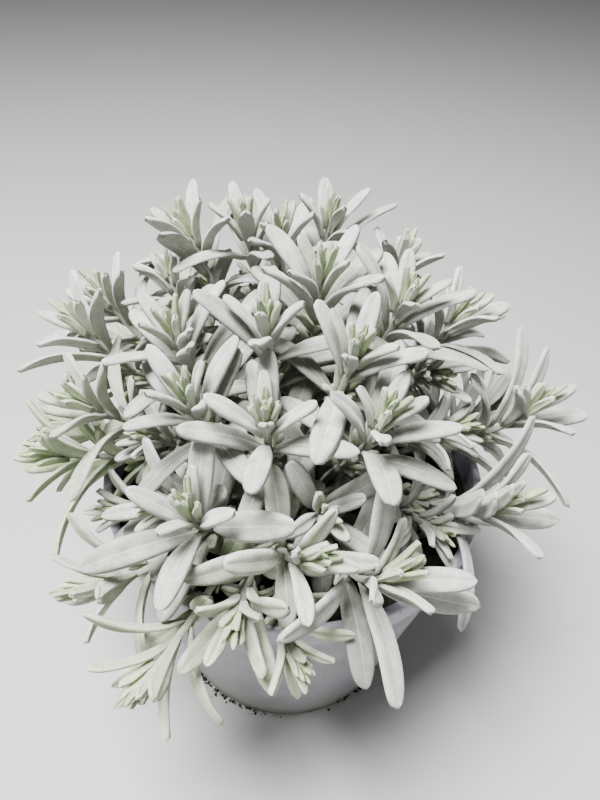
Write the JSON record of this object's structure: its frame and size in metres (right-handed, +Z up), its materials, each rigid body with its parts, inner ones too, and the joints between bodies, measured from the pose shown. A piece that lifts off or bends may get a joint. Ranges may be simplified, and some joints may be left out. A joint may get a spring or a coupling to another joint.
{
  "type": "potted english lavender",
  "caption": "Bushy lavender with felted silver leaves in opposite pairs, growing in soil in a round tapered nursery pot.",
  "frame": {"origin": "centre of the flat underside of the pot", "axes": "+Z up along the pot's axis, -Y towards the side that the picture shows"},
  "size_m": [0.2007, 0.1984, 0.199],
  "materials": {
    "pot": "milky, faintly lilac, satin moulded plastic",
    "soil": "dark moist peat with fibres and a few white grains",
    "leaf": "dense silver-white wool over pale green"
  },
  "bodies": {
    "root": {"pot": "pot", "soil": "soil", "leafy_stem_01": "leaf", "leafy_stem_02": "leaf", "leafy_stem_03": "leaf", "leafy_stem_04": "leaf", "leafy_stem_05": "leaf", "leafy_stem_06": "leaf", "leafy_stem_07": "leaf", "leafy_stem_08": "leaf", "leafy_stem_09": "leaf", "leafy_stem_10": "leaf", "leafy_stem_11": "leaf", "leafy_stem_12": "leaf", "leafy_stem_13": "leaf", "leafy_stem_14": "leaf", "leafy_stem_15": "leaf", "leafy_stem_16": "leaf", "leafy_stem_17": "leaf", "leafy_stem_18": "leaf", "leafy_stem_19": "leaf", "leafy_stem_20": "leaf", "leafy_stem_21": "leaf", "leafy_stem_22": "leaf", "leafy_stem_23": "leaf", "leafy_stem_24": "leaf", "leafy_stem_25": "leaf", "leafy_stem_26": "leaf", "leafy_stem_27": "leaf", "leafy_stem_28": "leaf", "leafy_stem_29": "leaf", "leafy_stem_30": "leaf", "leafy_stem_31": "leaf", "leafy_stem_32": "leaf", "leafy_stem_33": "leaf", "leafy_stem_34": "leaf", "leafy_stem_35": "leaf", "leafy_stem_36": "leaf", "leafy_stem_37": "leaf", "leafy_stem_38": "leaf", "leafy_stem_39": "leaf", "leafy_stem_40": "leaf", "leafy_stem_41": "leaf", "leafy_stem_42": "leaf", "leafy_stem_43": "leaf"}
  },
  "joints": []
}
